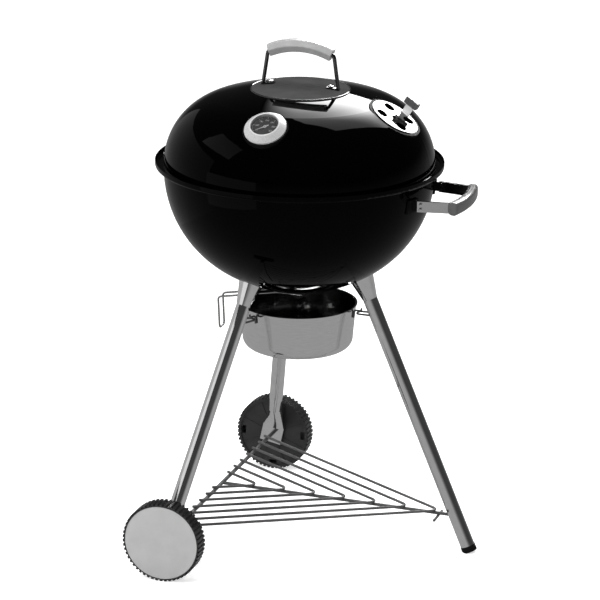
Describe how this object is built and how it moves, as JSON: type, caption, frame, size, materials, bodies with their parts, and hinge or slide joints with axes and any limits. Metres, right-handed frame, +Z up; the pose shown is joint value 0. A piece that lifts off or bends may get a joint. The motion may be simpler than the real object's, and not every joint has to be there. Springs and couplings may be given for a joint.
{
  "type": "kettle charcoal grill",
  "caption": "Round kettle charcoal grill on a tripod stand with a lift-off lid, lid vent and thermometer, ash pan, wheels on an axle and a wire rack.",
  "frame": {"origin": "on the floor below the middle of the whole outline", "axes": "+X from the wheels towards the leg with the foot, +Y along the axle, +Z up"},
  "size_m": [0.6908, 0.7394, 1.0559],
  "materials": {
    "enamel": "gloss black vitreous enamel",
    "chrome": "polished chrome",
    "plated_wire": "plated steel wire",
    "plate_steel": "dark satin steel",
    "pan_metal": "satin aluminium-coated steel",
    "grate_steel": "plated steel rod",
    "grey_plastic": "light grey heat-proof plastic",
    "dark_grey_plastic": "dark grey plastic",
    "black_plastic": "black plastic",
    "rubber": "black rubber",
    "wheel_plastic": "black moulded plastic",
    "disc_face": "pale grey gloss",
    "dial_face": "printed grey dial",
    "pointer_paint": "pale painted steel",
    "glass": "clear glass"
  },
  "bodies": {
    "stand": {"axle": "plated_wire", "bowl": "enamel", "charcoal_rests": "plate_steel", "cooking_rests": "plate_steel", "foot_cap": "rubber", "handle_bracket_left": "black_plastic", "handle_bracket_right": "black_plastic", "handle_grip": "grey_plastic", "handle_rivets": "plated_wire", "handle_strap_left": "pan_metal", "handle_strap_right": "pan_metal", "leg_foot": "chrome", "leg_left": "chrome", "leg_right": "chrome", "pan_loops": "plated_wire", "push_nut_left": "plated_wire", "push_nut_right": "plated_wire", "rack_spine": "plated_wire", "rack_stub": "plated_wire", "rack_wires": "plated_wire", "socket_foot": "chrome", "socket_left": "chrome", "socket_right": "chrome", "washer_left": "plated_wire", "washer_right": "plated_wire"},
    "lid": {"crown_plate": "plate_steel", "gauge_case": "chrome", "gauge_dial": "dial_face", "gauge_nut": "chrome", "gauge_seat": "black_plastic", "gauge_stem": "chrome", "gauge_window": "glass", "lid": "enamel", "lid_grip": "grey_plastic", "lid_handle": "chrome", "lid_nuts": "chrome", "lid_screws": "chrome", "vent_base": "black_plastic", "vent_rivet": "chrome"},
    "damper": {"vent_plate": "chrome", "vent_tab": "chrome", "vent_grip": "dark_grey_plastic"},
    "pointer": {"gauge_pointer": "pointer_paint"},
    "sweeper": {"sweeper_shaft": "plate_steel", "sweeper_blade_1": "plate_steel", "sweeper_blade_2": "plate_steel", "sweeper_blade_3": "plate_steel", "sweeper_hub": "plate_steel", "sweeper_lever": "plated_wire", "sweeper_nut": "plate_steel"},
    "ash_catcher": {"ash_pan": "pan_metal", "pan_lugs": "plated_wire"},
    "wheel_left": {"wheel_left": "wheel_plastic", "wheel_disc_left": "disc_face"},
    "wheel_right": {"wheel_right": "wheel_plastic", "wheel_disc_right": "disc_face"},
    "cooking_grate": {"cooking_grate": "grate_steel"},
    "charcoal_grate": {"charcoal_grate": "grate_steel"}
  },
  "joints": [
    {"name": "lid_lift", "type": "slide", "parent": "stand", "child": "lid", "axis": [0, 0, 1], "range_m": [0, 0.35]},
    {"name": "vent_turn", "type": "hinge", "parent": "lid", "child": "damper", "pos_m": [0.1574, -0.01635, 0.92084], "axis": [0.517, -0.0407, 0.855], "range_deg": [0, 45]},
    {"name": "pointer_turn", "type": "hinge", "parent": "lid", "child": "pointer", "pos_m": [-0.05294, -0.21148, 0.9189], "axis": [0.0066, 0.5403, -0.8414], "range_deg": [0, 250]},
    {"name": "sweeper_swing", "type": "hinge", "parent": "stand", "child": "sweeper", "pos_m": [-0.05035, 0, 0.555], "axis": [0, 0, 1], "range_deg": [-35, 35]},
    {"name": "ash_pan_twist", "type": "hinge", "parent": "stand", "child": "ash_catcher", "pos_m": [-0.05035, 0, 0.45], "axis": [0, 0, 1], "range_deg": [0, 15]},
    {"name": "wheel_left_spin", "type": "hinge", "parent": "stand", "child": "wheel_left", "pos_m": [-0.21505, 0.3516, 0.0824], "axis": [0, 1, 0], "continuous": true},
    {"name": "wheel_right_spin", "type": "hinge", "parent": "stand", "child": "wheel_right", "pos_m": [-0.21505, -0.3516, 0.0824], "axis": [0, 1, 0], "continuous": true},
    {"name": "cooking_grate_lift", "type": "slide", "parent": "stand", "child": "cooking_grate", "axis": [0, 0, 1], "range_m": [0, 0.04]},
    {"name": "charcoal_grate_lift", "type": "slide", "parent": "stand", "child": "charcoal_grate", "axis": [0, 0, 1], "range_m": [0, 0.075]}
  ]
}
